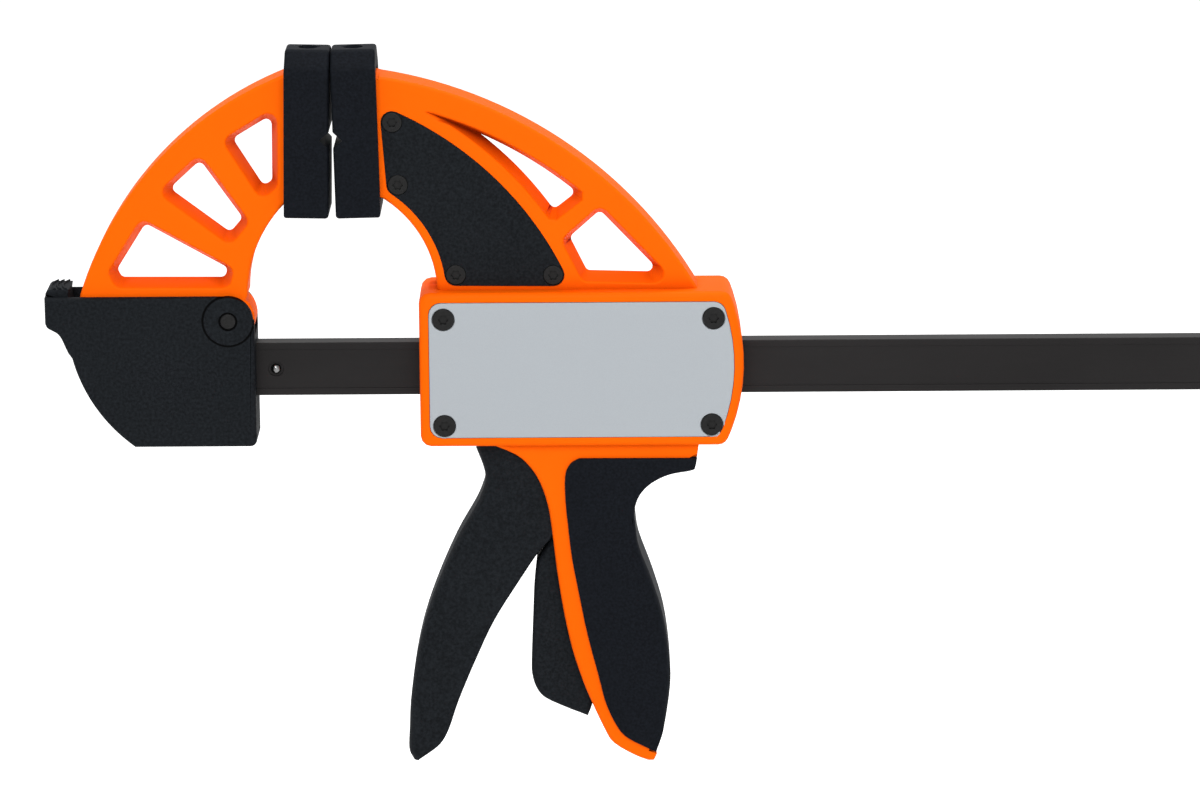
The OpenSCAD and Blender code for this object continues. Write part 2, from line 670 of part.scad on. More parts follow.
// Covers and plates on the outside, and their screws
function plate_outline(grow) = rounded(inset(housing_raw, plate_border - grow), plate_corner, 4);
module jaw_cover() difference() {
    slab(-cover_face, cover_seat - slide_half) polygon(cover_outline);
    for (p = cover_screw_at) {
        rod(p, cover_screw_d, -housing_half, 0);
        rod(p, cover_head_d + 2 * screw_seat, -housing_half, cover_head_t - cover_face);
    }
}
module jaw_cover_front() color(black) jaw_cover();
module jaw_cover_rear() color(black) mirror([0, 1, 0]) jaw_cover();
drive_r = 2.1;
drive_lobes = 6;
drive_wave = 0.14;
drive_deep = 0.8;
drive_step_angle = 7.5;
module drive_recess(p, y) slab(y - over, y + drive_deep) polygon([
    for (a = [0:drive_step_angle:360 - drive_step_angle])
        on(p, drive_r * (1 + drive_wave * cos(drive_lobes * a)), a)
]);
module cover_screws() for (p = cover_screw_at) difference() {
    union() {
        rod(p, cover_head_d, -cover_face, cover_head_t - cover_face);
        rod(p, cover_screw_d, -cover_face, -screw_tip);
    }
    drive_recess(p, -cover_face);
}
module cover_screws_front() color(black) cover_screws();
module cover_screws_rear() color(black) mirror([0, 1, 0]) cover_screws();
module side_plate(hole_d) difference() {
    slab(-plate_face, plate_seat - housing_half) polygon(plate_outline(0));
    for (p = plate_screw_at) {
        rod(p, hole_d, -2 * housing_half, 0);
        rod(p, plate_head_d + 2 * screw_seat, -2 * housing_half, plate_head_t - plate_face);
    }
}
module side_plate_front() color(silver) side_plate(plate_screw_d);
module side_plate_rear() color(silver) mirror([0, 1, 0]) side_plate(nut_d);
module plate_screws() color(black) for (p = plate_screw_at) difference() {
    union() {
        rod(p, plate_head_d, -plate_face, plate_head_t - plate_face);
        rod(p, plate_screw_d, -plate_face, housing_half - nut_wall);
    }
    drive_recess(p, -plate_face);
}
module plate_nuts() color(black) mirror([0, 1, 0]) for (p = plate_screw_at) difference() {
    union() {
        rod(p, plate_head_d, -plate_face, plate_head_t - plate_face);
        rod(p, nut_d, -plate_face, 0);
    }
    rod(p, plate_screw_d, nut_wall - housing_half, over);
    drive_recess(p, -plate_face);
}
module handle_grip() color(black) difference() {
    slab(-handle_half - grip_side, handle_half + grip_side) polygon(grip_outline);
    slab(-handle_half, handle_half) polygon(handle_core);
}

// Pieces inside the moving head
module bar_guides() color(zinc) for (x = guide_x) difference() {
    block([x, -guide_y, -guide_z], [x + guide_l, guide_y, guide_z]);
    bar_passage(x - over, x + guide_l + over, slide_gap);
}
module grab_plate(x, t) difference() {
    block([x, -grab_half, -grab_h], [x + t, grab_half, grab_h]);
    bar_passage(x - over, x + t + over, pass_gap);
}
module drive_plates() color(zinc)
    for (i = [0:drive_count - 1]) grab_plate(drive_x + i * (drive_t + drive_gap), drive_t);
// The brake plate tilts about its round top
brake_axis = [brake_x + brake_t / 2, grab_h - brake_t / 2];
module brake_plate() color(zinc) {
    difference() {
        grab_plate(brake_x, brake_t);
        block([brake_x - over, -across, brake_axis[1]], [brake_x + brake_t + over, across, grab_h + over]);
    }
    rod(brake_axis, brake_t, -grab_half, grab_half);
}
module bar_spring(x0, x1) translate([x0, 0, 0]) rotate([0, 90, 0]) difference() {
    cylinder(r = spring_out, h = x1 - x0);
    translate([0, 0, -over]) cylinder(r = spring_in, h = x1 - x0 + 2 * over);
}
module drive_spring() color(zinc) bar_spring(drive_end + side_gap, rib_x - side_gap);
module brake_spring() color(zinc)
    bar_spring(brake_x + brake_t + side_gap, brake_rib_x - side_gap);

// Trigger: a channel open to the rear, with a fork that straddles the bar
trigger_front = down([
    [0.02, 0.1693], [0.085, 0.1934], [0.125, 0.1954], [0.17, 0.1807], [0.21, 0.1606],
    [0.3, 0.1078], [0.43, 0.0482], [0.555, 0.0027], [0.68, -0.0268], [0.81, -0.0455],
    [0.9, -0.0509], [0.97, -0.0535], [1, -0.0402]
]);
trigger_back = down([
    [0.02, 0.2691], [0.05, 0.3186], [0.085, 0.3494], [0.145, 0.3835], [0.21, 0.404],
    [0.262, 0.411], [0.295, 0.4035], [0.346, 0.3589], [0.43, 0.3015], [0.555, 0.2216],
    [0.68, 0.1613], [0.81, 0.1058], [0.9, 0.0743], [0.95, 0.0455], [0.985, 0], [1, -0.0228]
]);
trigger_hub_d = 16;
fork_gap = 0.45;
module trigger() color(black) difference() {
    union() {
        slab(-trigger_half, trigger_half) polygon(concat(
            curve(trigger_front, 4), reversed(curve(trigger_back, 4)),
            [trigger_at + [trigger_hub_d / 2, 0], trigger_at - [trigger_hub_d / 2, 0]]
        ));
        rod(trigger_at, trigger_hub_d, -trigger_half, trigger_half);
    }
    slab(-bar_t / 2 - fork_gap, bar_t / 2 + fork_gap)
        translate([0, -housing_drop]) square([away, 2 * housing_drop]);
    slab(trigger_wall - trigger_half, trigger_half - trigger_wall) polygon(concat(
        [[along(0.187), -housing_drop]],
        moved(curve([for (i = [0:10]) trigger_front[i]], 4), [trigger_wall, 0]),
        [[away, trigger_front[10][1]], [away, -housing_drop]]
    ));
    rod(trigger_at, trigger_pin_d + 2 * pin_gap, -trigger_w, trigger_w);
}
module trigger_pin() color(zinc)
    rod(trigger_at, trigger_pin_d, -trigger_pin_end, trigger_pin_end);

// Release lever: a finger bar behind the trigger, and an arm that reaches the brake plate
lever_front = down([
    [0.374, 0.3554], [0.471, 0.345], [0.608, 0.339], [0.692, 0.3355], [0.737, 0.3365],
    [0.781, 0.3491], [0.814, 0.376], [0.845, 0.4409], [0.862, 0.484]
]);
lever_back = down([
    [0.374, 0.435], [0.478, 0.452], [0.595, 0.475], [0.692, 0.5], [0.757, 0.517],
    [0.802, 0.5285], [0.835, 0.526], [0.873, 0.5114]
]);
lever_hub_d = 11;
nose_l = 6;
nose_at = [brake_x + brake_t + side_gap, -19.2];
module release_lever() color(black) difference() {
    union() {
        slab(-lever_w / 2, lever_w / 2) {
            polygon(concat(
                [on(lever_at, lever_hub_d / 2, 150)], curve(lever_front, 3),
                reversed(curve(lever_back, 3)), [on(lever_at, lever_hub_d / 2, 330)]
            ));
            polygon([
                on(lever_at, lever_hub_d / 2, 140), on(lever_at, lever_hub_d / 2, 320),
                nose_at + [nose_l, -9], nose_at + [nose_l, 0], nose_at, nose_at - [0, 8]
            ]);
        }
        rod(lever_at, lever_hub_d, -lever_w / 2, lever_w / 2);
    }
    rod(lever_at, lever_pin_d + 2 * pin_gap, -lever_w, lever_w);
}
module release_pin() color(zinc) rod(lever_at, lever_pin_d, over - handle_half, handle_half - over);

bar();
bar_stop_pins();
fixed_bracket();
bar_lock_pin();
pivot_pin();
fixed_arm();
fixed_pad();
latch();
latch_pin();
latch_spring();
jaw_shell_front();
jaw_shell_rear();
jaw_cover_front();
jaw_cover_rear();
cover_screws_front();
cover_screws_rear();
side_plate_front();
side_plate_rear();
plate_screws();
plate_nuts();
handle_grip();
bar_guides();
moving_pad();
trigger();
trigger_pin();
drive_plates();
drive_spring();
brake_plate();
brake_spring();
release_lever();
release_pin();
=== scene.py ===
"""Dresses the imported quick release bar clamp: rounded mouldings, steel, soft grips and studio."""

import json
import math

import bmesh
import bpy
from mathutils import Matrix, Vector
from mathutils.kdtree import KDTree

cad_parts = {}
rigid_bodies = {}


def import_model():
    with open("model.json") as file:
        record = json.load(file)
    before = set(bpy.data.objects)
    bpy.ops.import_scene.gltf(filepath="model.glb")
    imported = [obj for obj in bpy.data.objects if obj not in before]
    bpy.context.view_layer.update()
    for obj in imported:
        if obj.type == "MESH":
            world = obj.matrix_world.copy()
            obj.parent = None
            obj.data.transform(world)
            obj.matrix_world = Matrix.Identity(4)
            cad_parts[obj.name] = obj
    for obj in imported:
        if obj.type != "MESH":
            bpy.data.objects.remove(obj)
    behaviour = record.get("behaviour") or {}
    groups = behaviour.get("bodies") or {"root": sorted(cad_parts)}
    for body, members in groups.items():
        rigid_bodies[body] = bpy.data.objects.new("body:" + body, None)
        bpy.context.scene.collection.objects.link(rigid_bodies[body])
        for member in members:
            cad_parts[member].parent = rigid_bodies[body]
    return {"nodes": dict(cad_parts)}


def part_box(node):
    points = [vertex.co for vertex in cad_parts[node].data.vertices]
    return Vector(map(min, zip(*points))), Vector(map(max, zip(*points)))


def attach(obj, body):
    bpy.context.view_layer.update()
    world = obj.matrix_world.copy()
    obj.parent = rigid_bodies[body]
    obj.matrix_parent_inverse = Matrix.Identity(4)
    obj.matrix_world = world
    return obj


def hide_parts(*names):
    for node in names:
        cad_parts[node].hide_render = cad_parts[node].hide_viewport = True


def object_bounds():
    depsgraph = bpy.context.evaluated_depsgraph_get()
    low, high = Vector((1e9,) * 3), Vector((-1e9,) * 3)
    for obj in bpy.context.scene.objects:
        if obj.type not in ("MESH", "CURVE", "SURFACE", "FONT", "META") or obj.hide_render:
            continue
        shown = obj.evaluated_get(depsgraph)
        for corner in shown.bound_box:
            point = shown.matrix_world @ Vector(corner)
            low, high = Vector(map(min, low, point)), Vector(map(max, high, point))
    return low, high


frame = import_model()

bl_info = {
    "name": "Quick release bar clamp",
    "version": (1, 0, 0),
    "blender": (4, 5, 0),
    "location": "View3D > Sidebar > Clamp",
    "description": "Rounded mouldings, steel and soft grips over a bar clamp, with a plain studio",
    "category": "Add Mesh",
}

CAD_BOX = [list(corner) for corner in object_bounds()]

MM = 0.001

# Cleaning a CAD node's triangles: lengths in millimetres, angles in degrees
CAD_DOUBLES = 0.03  # corners of a CAD node nearer than this are one
NEW_DOUBLES = 0.001  # corners of a new mesh nearer than this are one
PARTING_DEPTH = 0.05  # faces this near the middle plane are parting faces
FLAT_ANGLE = 0.8  # faces that turn less than this are one flat face
WALL_ANGLE = 30  # triangles of a window's wall that may be turned

# Side faces, in millimetres from the middle plane
FIXED_ARM_SIDE = 10.0
MOVING_ARM_SIDE = 10.5
HANDLE_CORE_SIDE = 15
COVER_LEVEL = 10.8  # all of a cover's outer face lies further out than this
RIM_DEPTH = 0.06  # the middle of a rim's edge is this near its side face
FACE_DEPTH = 0.02  # all corners of a side face are this near its plane

# Part of a normal that points along Y, on the wall of a window
DRAFT = (0.1, 0.7)
TAPER = 0.15  # the least beside a window's rim

# Screw heads, in millimetres; a reach is counted from a screw's axis
HEAD_RADIUS = 0.45  # of a head's rounded rim
RECESS_REACH = 2.8  # just outside the recess for the driver
COVER_SEAT_REACH = 4.95  # just outside a head's seat in a cover
PLATE_SEAT_REACH = (5.4, 5.9)  # inside and outside of a seat's rim in a side plate


# Selection and shaping helpers


def select_only(piece):
    bpy.ops.object.select_all(action="DESELECT")
    piece.select_set(True)
    bpy.context.view_layer.objects.active = piece


def copy_of(node, name):
    """A merged copy of a CAD node's mesh, as a piece of its own."""
    select_only(frame["nodes"][node])
    bpy.ops.object.duplicate()
    piece = bpy.context.object
    bpy.ops.object.parent_clear(type="CLEAR")
    piece.name = name
    piece.data.name = name
    for key in list(piece.keys()):
        del piece[key]
    piece.data.materials.clear()
    bpy.ops.object.mode_set(mode="EDIT")
    bpy.ops.mesh.select_all(action="SELECT")
    bpy.ops.mesh.remove_doubles(threshold=CAD_DOUBLES * MM)
    pick_faces(piece, lambda face: not on_parting(face) and not drafted(face))
    bpy.ops.mesh.dissolve_limited(angle_limit=math.radians(FLAT_ANGLE))
    pick_faces(piece, drafted)
    bpy.ops.mesh.beautify_fill(angle_limit=math.radians(WALL_ANGLE))
    bpy.ops.object.mode_set(mode="OBJECT")
    return piece


def pick_faces(piece, where):
    """Selects the faces that pass a test, and says whether there are any."""
    bpy.ops.mesh.select_mode(type="FACE")
    bpy.ops.mesh.select_all(action="DESELECT")
    mesh = bmesh.from_edit_mesh(piece.data)
    picked = [face for face in mesh.faces if where(face)]
    for face in picked:
        face.select_set(True)
    bmesh.update_edit_mesh(piece.data)
    return bool(picked)


def on_parting(face):
    """True for a face in the middle plane, where two halves meet."""
    return all(abs(corner.co.y) < PARTING_DEPTH * MM for corner in face.verts)


def drafted(face):
    """True for a face that leans a little away from the side faces, as a window's wall does."""
    return DRAFT[0] < abs(face.normal.y) < DRAFT[1]


def corner_edges(mesh, angle):
    """Outer edges that turn by at least an angle, each with its middle in millimetres."""
    least = math.radians(angle)
    for edge in mesh.edges:
        if len(edge.link_faces) == 2 and edge.is_convex and edge.calc_face_angle(0) >= least:
            yield (edge.verts[0].co + edge.verts[1].co) / 2 / MM, edge


def round_edges(piece, width, segments, where, angle=35):
    """Bevels the edges sharper than an angle whose middle passes a test."""
    select_only(piece)
    bpy.ops.object.mode_set(mode="EDIT")
    bpy.ops.mesh.select_mode(type="EDGE")
    bpy.ops.mesh.select_all(action="DESELECT")
    mesh = bmesh.from_edit_mesh(piece.data)
    picked = [edge for at, edge in corner_edges(mesh, angle) if where(at, edge)]
    for edge in picked:
        edge.select_set(True)
    bmesh.update_edit_mesh(piece.data)
    if picked:
        bpy.ops.mesh.bevel(
            offset=width * MM, segments=segments, clamp_overlap=False, loop_slide=False
        )
    bpy.ops.object.mode_set(mode="OBJECT")


def grade_edges(piece, width, segments, share, angle=30):
    """Bevels sharp edges by a share of a width, which may change along them."""
    select_only(piece)
    mesh = bmesh.new()
    mesh.from_mesh(piece.data)
    weight = mesh.edges.layers.float.new("bevel_weight_edge")
    for at, edge in corner_edges(mesh, angle):
        edge[weight] = share(at, edge)
    mesh.to_mesh(piece.data)
    mesh.free()
    bpy.ops.object.modifier_add(type="BEVEL")
    modifier = piece.modifiers[-1]
    modifier.limit_method = "WEIGHT"
    modifier.width = width * MM
    modifier.segments = segments
    modifier.use_clamp_overlap = False
    modifier.loop_slide = False
    bpy.ops.object.modifier_apply(modifier=modifier.name)


def refill(piece, level):
    """Fills the flat side faces at a level anew, so that no sliver stays between their rims."""
    select_only(piece)
    bpy.ops.object.mode_set(mode="EDIT")
    for side in (-1, 1):

        def flat(face, place=level * side):
            return all(abs(corner.co.y / MM - place) < FACE_DEPTH for corner in face.verts)

        if not pick_faces(piece, flat):
            continue
        bpy.ops.mesh.delete(type="FACE")
        bpy.ops.mesh.select_mode(type="EDGE")
        mesh = bmesh.from_edit_mesh(piece.data)
        for edge in mesh.edges:
            edge.select_set(edge.is_boundary)
        bmesh.update_edit_mesh(piece.data)
        bpy.ops.mesh.fill(use_beauty=True)
        bpy.ops.mesh.select_mode(type="FACE")
        mesh = bmesh.from_edit_mesh(piece.data)
        for face in mesh.faces:
            face.select_set(face.select and face.normal.y * side < 0)
        bmesh.update_edit_mesh(piece.data)
        bpy.ops.mesh.flip_normals()
    bpy.ops.object.mode_set(mode="OBJECT")


def on_face(at, level):
    """True where a place lies on either of the two side faces at a distance from the middle."""
    return abs(abs(at.y) - level) < RIM_DEPTH


def side_of(edge):
    """Normal of the face beside an edge that looks least along Y."""
    return min((face.normal for face in edge.link_faces), key=lambda normal: abs(normal.y))


def tapered(edge):
    """True for the rim of a window, whose walls taper towards the middle."""
    return abs(side_of(edge).y) > TAPER


class Outline:
    """Corners of a node seen along Y, which tell the edges of its seat."""

    def __init__(self, node, reach):
        corners = frame["nodes"][node].data.vertices
        self.reach = reach
        self.tree = KDTree(len(corners))
        for index, corner in enumerate(corners):
            self.tree.insert((corner.co.x / MM, 0, corner.co.z / MM), index)
        self.tree.balance()

    def holds(self, edge):
        ends = [(end.co.x / MM, 0, end.co.z / MM) for end in edge.verts]
        return all(self.tree.find(end)[2] < self.reach for end in ends)


def finish_shading(piece, angle=32):
    """Shades smoothly over the edges below an angle, and keeps the large faces flat."""
    select_only(piece)
    bpy.ops.object.shade_smooth_by_angle(angle=math.radians(angle))
    bpy.ops.object.modifier_add(type="WEIGHTED_NORMAL")
    modifier = piece.modifiers[-1]
    modifier.keep_sharp = True
    modifier.weight = 80
    bpy.ops.object.modifier_apply(modifier=modifier.name)


def settle(piece, node, body, slot, finish=None):
    """Gives a finished piece its material and its body, and hides the node that it stands for."""
    piece.data.materials.clear()
    piece.data.materials.append(material(finish or slot))
    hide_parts(node)
    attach(piece, body)


def along_bar(edge):
    """True for an edge that runs along the bar."""
    return abs((edge.verts[1].co - edge.verts[0].co).normalized().x) > 0.999


# Materials


class Value:
    """A node socket that takes part in Python arithmetic."""

    def __init__(self, recipe, socket):
        self.recipe = recipe
        self.socket = socket

    def _math(self, operation, *values):
        return self.recipe.node("ShaderNodeMath", {"operation": operation}, *values)

    def __add__(self, other):
        return self._math("ADD", self, other)

    def __radd__(self, other):
        return self._math("ADD", other, self)

    def __sub__(self, other):
        return self._math("SUBTRACT", self, other)

    def __rsub__(self, other):
        return self._math("SUBTRACT", other, self)

    def __mul__(self, other):
        return self._math("MULTIPLY", self, other)

    def __rmul__(self, other):
        return self._math("MULTIPLY", other, self)

    def __truediv__(self, other):
        return self._math("DIVIDE", self, other)


class Recipe:
    """Builds one procedural material around a Principled shader."""

    MIX_MASK, MIX_LOW, MIX_HIGH = 0, 6, 7  # a colour mix node's inputs
    MIX_COLOUR = 2  # and its output

    def __init__(self, name):
        self.material = bpy.data.materials.new(name)
        self.material.use_nodes = True
        self.tree = self.material.node_tree
        self.shader = self.tree.nodes["Principled BSDF"]
        self.place = self.node("ShaderNodeTexCoord", {}, output="Object")

    @classmethod
    def on_tree(cls, tree):
        """Works on a node tree that has no Principled shader, such as the world's."""
        recipe = cls.__new__(cls)
        recipe.tree = tree
        return recipe

    def node(self, kind, settings, *values, output=0, **named):
        made = self.tree.nodes.new(kind)
        for key, value in settings.items():
            if key == "stops":
                self._set_stops(made.color_ramp, value)
            else:
                setattr(made, key, value)
        for index, value in enumerate(values):
            self._feed(made.inputs[index], value)
        for key, value in named.items():
            self._feed(made.inputs[key.replace("_", " ")], value)
        return Value(self, made.outputs[output])

    def _set_stops(self, ramp, stops):
        while len(ramp.elements) < len(stops):
            ramp.elements.new(0.5)
        for element, (position, level) in zip(ramp.elements, stops):
            element.position = position
            element.color = (level, level, level, 1)

    def _feed(self, socket, value):
        if isinstance(value, Value):
            self.tree.links.new(value.socket, socket)
        elif value is not None:
            socket.default_value = value

    def noise(self, scale, detail=3, rough=0.5, where=None):
        return self.node(
            "ShaderNodeTexNoise", {}, where or self.place, None, scale, detail, rough
        )

    def stretched(self, x, y, z):
        return self.node("ShaderNodeMapping", {}, self.place, Scale=(x, y, z))

    def ramp(self, value, *stops):
        return self.node("ShaderNodeValToRGB", {"stops": stops}, value)

    def mix_colour(self, mask, low, high):
        made = self.tree.nodes.new("ShaderNodeMix")
        made.data_type = "RGBA"
        self._feed(made.inputs[self.MIX_MASK], mask)
        self._feed(made.inputs[self.MIX_LOW], low)
        self._feed(made.inputs[self.MIX_HIGH], high)
        return Value(self, made.outputs[self.MIX_COLOUR])

    def off_axis(self, x, z):
        """Distance from an axis along Y, in millimetres."""
        flat = self.node(
            "ShaderNodeVectorMath", {"operation": "MULTIPLY"}, self.place, (1 / MM, 0, 1 / MM)
        )
        return self.node(
            "ShaderNodeVectorMath", {"operation": "DISTANCE"}, flat, (x, 0, z), output="Value"
        )

    def outside_ring(self, away, inner, outer, fade):
        """A mask that is 0 between two distances from an axis, in millimetres, and 1 elsewhere."""
        span = 20
        stops = ((inner - fade, 1), (inner, 0), (outer, 0), (outer + fade, 1))
        return self.ramp(away / span, *((distance / span, level) for distance, level in stops))

    def hollows(self, reach):
        """Painted shade: a mask from ambient occlusion that falls from 1 to 0 in the hollows of a
        piece.
        """
        open_sky = self.node(
            "ShaderNodeAmbientOcclusion", {"only_local": True, "samples": 8}, None, reach * MM,
            output="AO",
        )
        return self.ramp(open_sky, (0.25, 0), (0.85, 1))

    def bump(self, height, strength, distance):
        return self.node("ShaderNodeBump", {}, strength, distance * MM, Height=height)

    def set(self, **values):
        for key, value in values.items():
            self._feed(self.shader.inputs[key.replace("_", " ")], value)


MATT = 0.03  # specular level of all the plastics


def grey(level, tint=0.0):
    """A grey, with its red lowered and its blue raised by a tint."""
    return (level * (1 - tint), level, level * (1 + 2 * tint), 1)


def shaded(colour, factor):
    """A colour made lighter or darker by a factor."""
    return tuple(channel * factor for channel in colour[:3]) + (1,)


def hollow_shade_colour(colour):
    """Painted shade for a hollow: the colour darkened, losing green before red."""
    return (colour[0] * 0.5, colour[1] * 0.4, colour[2] * 0.4, 1)


def orange_plastic(options):
    """Fine-grained orange moulding, with painted shade that deepens its colour in its hollows."""
    recipe = Recipe("orange_plastic")
    colour = tuple(options.orange) + (1,)
    clouds = recipe.ramp(recipe.noise(22, 3), (0.3, 0), (0.7, 1))
    grain = recipe.noise(2600, 2)
    plain = recipe.mix_colour(clouds, colour, shaded(colour, 0.95))
    # painted shade: ambient occlusion darkens the orange in windows, seams and other hollows
    hollows = recipe.hollows(11)
    recipe.set(
        Base_Color=recipe.mix_colour(hollows, hollow_shade_colour(colour), plain),
        Roughness=0.96 - hollows * 0.5 + grain * 0.1,
        Specular_IOR_Level=MATT,
        Normal=recipe.bump(grain, 0.2, 0.03),
    )
    return recipe.material


def speckle(recipe, dark, contrast, scale, strength):
    """Sets the fine speckle of a moulded black surface over soft clouds, and gives its colour."""
    grain = recipe.noise(scale, 3, 0.6)
    spots = recipe.ramp(grain, (0.34, 0), (0.68, 1))
    clouds = recipe.noise(30, 3)
    colour = recipe.mix_colour(spots * 0.8 + clouds * 0.25, dark, shaded(dark, contrast))
    recipe.set(
        Base_Color=colour,
        Roughness=0.5 + grain * 0.14,
        Specular_IOR_Level=MATT,
        Normal=recipe.bump(grain, strength, 0.07),
    )
    return colour


def black_plastic(name, options):
    """Speckled black moulding, as its recipe and its colour."""
    recipe = Recipe(name)
    colour = speckle(recipe, tuple(options.black) + (1,), 2.9, 750, 0.3)
    return recipe, colour


def bracket_plastic(options):
    """Black moulding with painted shade: a dark line round the foot of its pivot boss and another
    in the groove round the pin.
    """
    recipe, colour = black_plastic("bracket_plastic", options)
    low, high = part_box("pivot_pin")
    middle = (low + high) / 2 / MM
    away = recipe.off_axis(middle.x, middle.z)
    # painted shade: dark rings at the foot of the boss and in the groove round the pin
    boss_foot_shade = recipe.outside_ring(away, 11.4, 12.1, 0.3)
    groove = recipe.outside_ring(away, 3.5, 4.3, 0.2)
    painted_shade_line = shaded(options.black, 0.15)
    recipe.set(Base_Color=recipe.mix_colour(boss_foot_shade * groove, painted_shade_line, colour))
    return recipe.material


def soft_rubber(name, options):
    """Speckled rubber, finer and fainter than the plastic."""
    recipe = Recipe(name)
    speckle(recipe, tuple(options.rubber) + (1,), 2.4, 800, 0.4)
    return recipe.material


def dark_bar_steel(options):
    """Blackened steel with fine lines along the bar."""
    recipe = Recipe("bar_steel")
    lines = recipe.noise(1.0, 4, 0.6, recipe.stretched(25, 900, 900))
    clouds = recipe.noise(14, 4, 0.6, recipe.stretched(0.5, 1, 1))
    dark = tuple(options.bar) + (1,)
    worn = recipe.ramp(clouds, (0.35, 0), (0.7, 1))
    recipe.set(
        Base_Color=recipe.mix_colour(worn, dark, shaded(dark, 1.5)),
        Metallic=0.3,
        Roughness=0.42 + lines * 0.16,
        Specular_IOR_Level=0.15,
        Normal=recipe.bump(lines, 0.2, 0.02),
    )
    return recipe.material


def plate_steel(options):
    """Pale brushed steel of the side plates."""
    recipe = Recipe("plate_steel")
    silver = tuple(options.plate) + (1,)
    grain = recipe.noise(2200, 2)
    lines = recipe.noise(1.0, 3, 0.6, recipe.stretched(60, 1500, 1500))
    recipe.set(
        Base_Color=recipe.mix_colour(grain, silver, shaded(silver, 0.9)),
        Metallic=0.3,
        Roughness=0.42 + lines * 0.12,
        Specular_IOR_Level=0.3,
        Normal=recipe.bump(grain, 0.15, 0.02),
    )
    return recipe.material


def black_screw(options):
    """Blackened screws, with painted shade that makes the recess for the driver darkest."""
    recipe = Recipe("screw_steel")
    grain = recipe.noise(900, 3)
    worn = recipe.mix_colour(grain, grey(0.005), grey(0.016))
    recipe.set(
        # painted shade: the recess for the driver turns nearly black where ambient occlusion finds
        # it
        Base_Color=recipe.mix_colour(recipe.hollows(1.5), grey(0.0005), worn),
        Roughness=0.3 + grain * 0.16,
        Specular_IOR_Level=0.1,
        Normal=recipe.bump(grain, 0.2, 0.03),
    )
    return recipe.material


def zinc_steel(options):
    """Plated steel of the pieces inside."""
    recipe = Recipe("zinc_steel")
    grain = recipe.noise(500, 3)
    recipe.set(
        Base_Color=recipe.mix_colour(grain, grey(0.5), grey(0.66, 0.02)),
        Metallic=0.95,
        Roughness=0.24 + grain * 0.16,
        Normal=recipe.bump(grain, 0.15, 0.02),
    )
    return recipe.material


def polished_steel(options):
    """Polished steel of the stop pins."""
    recipe = Recipe("polished_steel")
    grain = recipe.noise(700, 2)
    recipe.set(
        Base_Color=recipe.mix_colour(grain, grey(0.12), grey(0.2)),
        Metallic=1.0,
        Roughness=0.12 + grain * 0.08,
    )
    return recipe.material


def light_path(recipe):
    """A mask that is 1 for what the camera, a mirror or glass sees."""
    rays = [
        recipe.node("ShaderNodeLightPath", {}, output="Is %s Ray" % kind)
        for kind in ("Camera", "Glossy", "Transmission")
    ]
    total = rays[0] + rays[1] + rays[2]
    return recipe.node("ShaderNodeMath", {"operation": "MINIMUM"}, total, 1.0)


def studio_white(options):
    """Pale floor that glows for the camera and keeps the clamp's shadow."""
    recipe = Recipe("studio_white")
    grain = recipe.noise(3, 2)
    glow = bpy.context.scene.clamp_studio.floor_glow
    recipe.set(
        Base_Color=recipe.mix_colour(grain, grey(0.9), grey(0.92)),
        Roughness=0.9,
        Specular_IOR_Level=0.1,
        Emission_Color=recipe.mix_colour(light_path(recipe), grey(0.0), grey(glow)),
        Emission_Strength=1.0,
    )
    return recipe.material


MADE = {}


def material(name):
    """A finish by its name, made when it is first asked for."""
    if name not in MADE:
        options = bpy.context.scene.clamp_finish
        makers = {
            "orange_plastic": orange_plastic,
            "black_plastic": lambda chosen: black_plastic("black_plastic", chosen)[0].material,
            "bracket_plastic": bracket_plastic,
            "soft_grip": lambda chosen: soft_rubber("soft_grip", chosen),
            "pad_rubber": lambda chosen: soft_rubber("pad_rubber", chosen),
            "bar_steel": dark_bar_steel,
            "plate_steel": plate_steel,
            "screw_steel": black_screw,
            "zinc_steel": zinc_steel,
            "polished_steel": polished_steel,
            "studio_white": studio_white,
        }
        MADE[name] = makers[name](options)
    return MADE[name]


# Settings


class ClampFinish(bpy.types.PropertyGroup):
    """Colours of the clamp's finishes, in linear light"""

    orange: bpy.props.FloatVectorProperty(
        name="Orange", description="Moulded arms and handle", subtype="COLOR",
        default=(0.95, 0.122, 0.0006),
    )
    black: bpy.props.FloatVectorProperty(
        name="Black", description="Bracket, latch, covers and levers", subtype="COLOR",
        default=(0.0046, 0.0054, 0.0064),
    )
    rubber: bpy.props.FloatVectorProperty(
        name="Rubber", description="Pads and soft grip", subtype="COLOR",
        default=(0.0034, 0.0041, 0.0056),
    )
    bar: bpy.props.FloatVectorProperty(
        name="Bar", description="Blackened bar", subtype="COLOR",
        default=(0.0078, 0.007, 0.0071),
    )
    plate: bpy.props.FloatVectorProperty(
        name="Plate", description="Side plates", subtype="COLOR",
        default=(0.337, 0.361, 0.384),
    )


def radius(label, text, value):
    """A property for the radius of a rounded edge, in millimetres."""
    return bpy.props.FloatProperty(name=label, description=text, default=value, min=0.1, max=6.0)


class ClampEdges(bpy.types.PropertyGroup):
    """Radii of the clamp's rounded edges, in millimetres"""

    arm: radius("Arms", "Outer edges of both arms", 1.7)
    window: radius("Windows", "Rims of the windows in both arms", 0.8)
    housing: radius("Housing", "Outer edges of the housing", 2.8)
    handle: radius("Handle", "Front edges of the handle's core", 2.4)
    grip: radius("Grip", "Back edges of the soft grip", 4.0)
    trigger: radius("Trigger", "Front edges of the trigger", 4.6)
    lever: radius("Lever", "Edges of the release lever", 2.4)
    pad: radius("Pads", "Edges of the pads", 1.6)
    bracket: radius("Bracket", "Outer edges of the bracket", 1.6)
    seam: radius("Seams", "Edges on both sides of a gap", 0.3)


